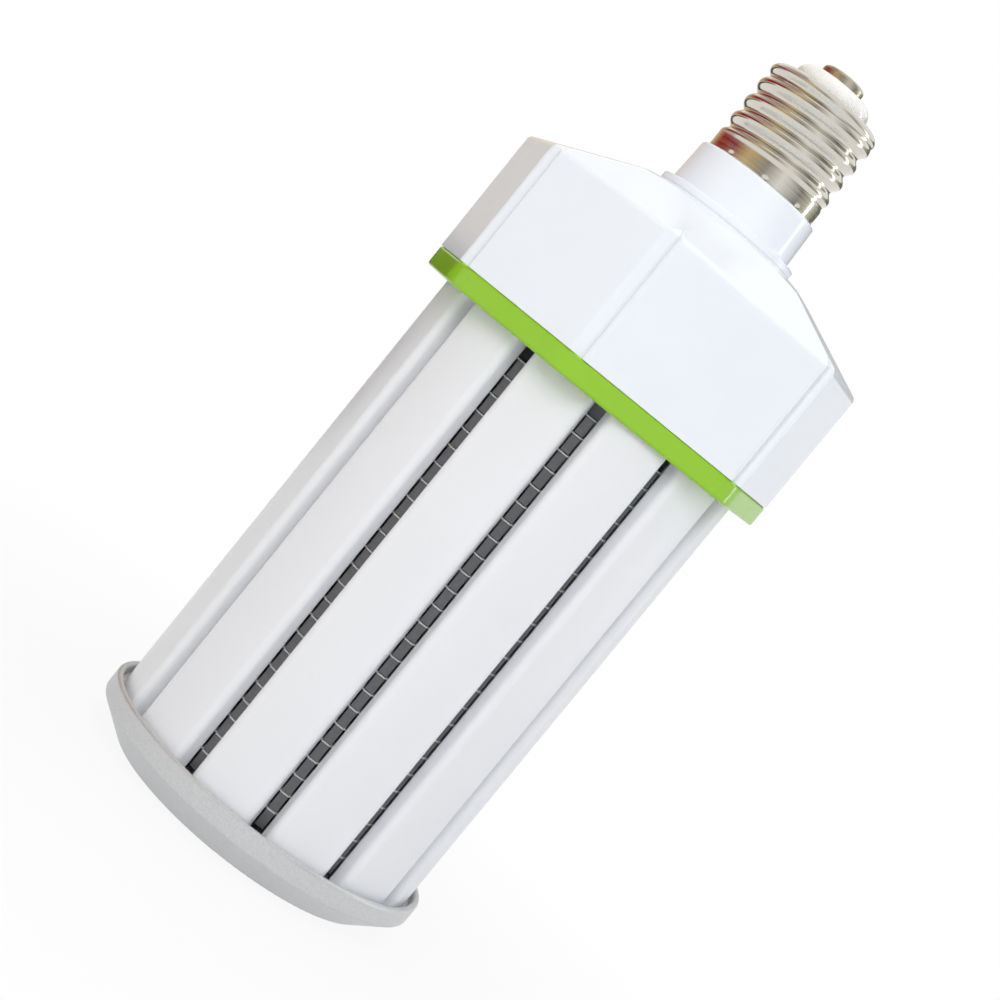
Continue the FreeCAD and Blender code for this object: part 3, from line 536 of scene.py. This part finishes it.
class LAMP_OT_stage(bpy.types.Operator):
    """Sets up the pale floor, the soft lights and the camera"""
    bl_idname = "corn_lamp.stage"
    bl_label = "Stage"

    def execute(self, context):
        settings = context.scene.stage_settings
        context.scene.view_settings.view_transform = "Standard"
        self.floor(context)
        self.sky(context, settings.fill)
        for name, place, size, tint, mirrored in LAMPS:
            self.lamp(context, name, place, size, getattr(settings, name.lower()), tint, mirrored)
        for band in BANDS:
            self.surround(context, *band)
        data = bpy.data.cameras.new("Camera")
        data.lens = settings.lens
        data.sensor_width = SENSOR_MM
        camera = bpy.data.objects.new("Camera", data)
        camera.location = settings.camera_place
        tilt = Matrix.Rotation(settings.camera_tilt, 3, "X")
        camera.rotation_euler = (tilt @ Matrix.Rotation(settings.camera_roll, 3, "Z")).to_euler()
        context.scene.collection.objects.link(camera)
        context.scene.camera = camera
        return {"FINISHED"}

    def lamp(self, context, name, place, size, watts, hex_colour, mirrored):
        """Soft rectangular light aimed at the lamp; gloss mirrors it, or plain white in its place."""
        data = bpy.data.lights.new(name, "AREA")
        data.shape = "RECTANGLE"
        data.size, data.size_y = size
        data.energy = watts
        data.color = linear(hex_colour)[:3]
        light = bpy.data.objects.new(name, data)
        light.location = place
        light.rotation_euler = (LAMP_MIDDLE - Vector(place)).to_track_quat("-Z", "Y").to_euler()
        light.visible_camera = False
        light.visible_glossy = mirrored
        context.scene.collection.objects.link(light)

    def seen(self, tree):
        """1 for what the eye, gloss and clear pieces see, 0 for what only lights the lamp."""
        path = add(tree, "ShaderNodeLightPath").outputs
        direct = add(tree, "ShaderNodeMath", {0: path["Is Camera Ray"], 1: path["Is Glossy Ray"]},
                     operation="MAXIMUM")
        through = add(tree, "ShaderNodeMath", {0: direct.outputs[0], 1: path["Is Transmission Ray"]},
                      operation="MAXIMUM")
        return through.outputs[0]

    def surround(self, context, name, bottom, top, stops):
        """Band round the stage that only gloss mirrors, in colours that run on from stop to stop."""
        build = bmesh.new()
        ends = [build.verts.new((BAND_RADIUS, 0.0, z)) for z in (bottom, top)]
        edge = build.edges.new(ends)
        bmesh.ops.spin(build, geom=ends + [edge], cent=(0, 0, 0), axis=(0, 0, 1), angle=2 * math.pi,
                       steps=BAND_STEPS, use_merge=True)
        mesh = bpy.data.meshes.new(name)
        build.to_mesh(mesh)
        build.free()
        material = bpy.data.materials.new(name)
        material.use_nodes = True
        tree = material.node_tree
        tree.nodes.clear()
        place = add(tree, "ShaderNodeTexCoord").outputs["Object"]
        facing = add(tree, "ShaderNodeMapping", {"Vector": place, "Rotation": (0.0, 0.0, math.pi / 2)})
        turn = add(tree, "ShaderNodeTexGradient", {"Vector": facing.outputs["Vector"]},
                   gradient_type="RADIAL")
        ramp = add(tree, "ShaderNodeValToRGB", {"Fac": turn.outputs["Fac"]})
        steps = ramp.color_ramp.elements
        while len(steps) < len(stops):
            steps.new(1.0)
        for step, (degrees, hex_colour) in zip(steps, stops):
            step.position = degrees / 360 + 0.5
            step.color = linear(hex_colour)
        glow = add(tree, "ShaderNodeEmission", {"Color": ramp.outputs["Color"], "Strength": 1.0})
        add(tree, "ShaderNodeOutputMaterial", {"Surface": glow.outputs[0]})
        mesh.materials.append(material)
        band = bpy.data.objects.new(name, mesh)
        for sense in ("camera", "diffuse", "transmission", "shadow"):
            setattr(band, "visible_" + sense, False)
        context.scene.collection.objects.link(band)

    def floor(self, context):
        """Pale floor that stays white to the eye and to reflections and keeps the lamp's shadow."""
        build = bmesh.new()
        bmesh.ops.create_grid(build, x_segments=1, y_segments=1, size=FLOOR_REACH)
        bmesh.ops.translate(build, vec=(0, 0, -FLOOR_DROP), verts=build.verts[:])
        mesh = bpy.data.meshes.new("Floor")
        build.to_mesh(mesh)
        build.free()
        floor = bpy.data.objects.new("Floor", mesh)
        context.scene.collection.objects.link(floor)
        material = bpy.data.materials.new("Pale floor")
        material.use_nodes = True
        tree = material.node_tree
        tree.nodes.clear()
        seen = self.seen(tree)
        place = add(tree, "ShaderNodeTexCoord").outputs["Object"]
        away = add(tree, "ShaderNodeVectorMath", {0: place}, operation="LENGTH")
        fading = add(tree, "ShaderNodeMapRange", {"Value": away.outputs["Value"], "From Min": SHADOW_NEAR,
                                                  "From Max": SHADOW_FAR, "To Min": WHITE_NEAR,
                                                  "To Max": WHITE_FAR},
                     interpolation_type="SMOOTHSTEP")
        share = add(tree, "ShaderNodeMath", {0: seen, 1: fading.outputs["Result"]},
                    operation="MULTIPLY")
        matt = add(tree, "ShaderNodeBsdfDiffuse", {"Color": linear("#D8D8D8")})
        white = add(tree, "ShaderNodeEmission", {"Color": linear("#FFFFFF"), "Strength": 1.0})
        mixed = add(tree, "ShaderNodeMixShader", {0: share.outputs[0], 1: matt.outputs[0],
                                                  2: white.outputs[0]})
        back = add(tree, "ShaderNodeNewGeometry")
        clear = add(tree, "ShaderNodeBsdfTransparent")
        sided = add(tree, "ShaderNodeMixShader", {0: back.outputs["Backfacing"], 1: mixed.outputs[0],
                                                  2: clear.outputs[0]})
        add(tree, "ShaderNodeOutputMaterial", {"Surface": sided.outputs[0]})
        mesh.materials.append(material)

    def sky(self, context, fill):
        """Even light, seen as plain white by the eye and by reflections."""
        world = bpy.data.worlds.new("Studio")
        context.scene.world = world
        world.use_nodes = True
        tree = world.node_tree
        tree.nodes.clear()
        seen = self.seen(tree)
        way = add(tree, "ShaderNodeTexCoord").outputs["Generated"]
        across = add(tree, "ShaderNodeSeparateXYZ", {"Vector": way})
        side = add(tree, "ShaderNodeMapRange", {"Value": across.outputs["X"], "From Min": -1.0})
        tint = add(tree, "ShaderNodeMix", {"Factor": side.outputs["Result"], "A": linear("#FFF6EE"),
                                           "B": linear("#FAFCFF")}, data_type="RGBA")
        soft = add(tree, "ShaderNodeBackground", {"Color": tint.outputs["Result"], "Strength": fill})
        white = add(tree, "ShaderNodeBackground", {"Color": linear("#FFFFFF"), "Strength": 1.0})
        mixed = add(tree, "ShaderNodeMixShader", {0: seen, 1: soft.outputs[0], 2: white.outputs[0]})
        add(tree, "ShaderNodeOutputWorld", {"Surface": mixed.outputs[0]})


class LAMP_PT_panel(bpy.types.Panel):
    """Lists the lamp's pieces and its stage"""
    bl_idname = "LAMP_PT_panel"
    bl_label = "Corn Lamp"
    bl_space_type = "VIEW_3D"
    bl_region_type = "UI"
    bl_category = "Corn Lamp"

    def draw(self, context):
        for step in STEPS:
            self.layout.operator(step.bl_idname)
        for name, group in GROUPS.items():
            box = self.layout.box()
            for key in group.__annotations__:
                box.prop(getattr(context.scene, name), key)


STEPS = (LAMP_OT_housing, LAMP_OT_trim_ring, LAMP_OT_light_bars, LAMP_OT_fins, LAMP_OT_end_cap,
         LAMP_OT_screw_shell, LAMP_OT_base_end, LAMP_OT_driver, LAMP_OT_stage)
GROUPS = {"lamp_colours": LampColours, "fin_sizes": FinSizes, "shell_sizes": ShellSizes,
          "stage_settings": StageSettings}


def register():
    for entry in (*GROUPS.values(), *STEPS, LAMP_PT_panel):
        bpy.utils.register_class(entry)
    for name, group in GROUPS.items():
        setattr(bpy.types.Scene, name, PointerProperty(type=group))


def unregister():
    for name in GROUPS:
        delattr(bpy.types.Scene, name)
    for entry in (LAMP_PT_panel, *reversed(STEPS), *GROUPS.values()):
        bpy.utils.unregister_class(entry)


def main():
    register()
    bpy.ops.corn_lamp.housing()
    bpy.ops.corn_lamp.trim_ring()
    bpy.ops.corn_lamp.light_bars()
    bpy.ops.corn_lamp.fins()
    bpy.ops.corn_lamp.end_cap()
    bpy.ops.corn_lamp.screw_shell()
    bpy.ops.corn_lamp.base_end()
    bpy.ops.corn_lamp.driver()
    bpy.ops.corn_lamp.stage()


if __name__ == "__main__":
    main()
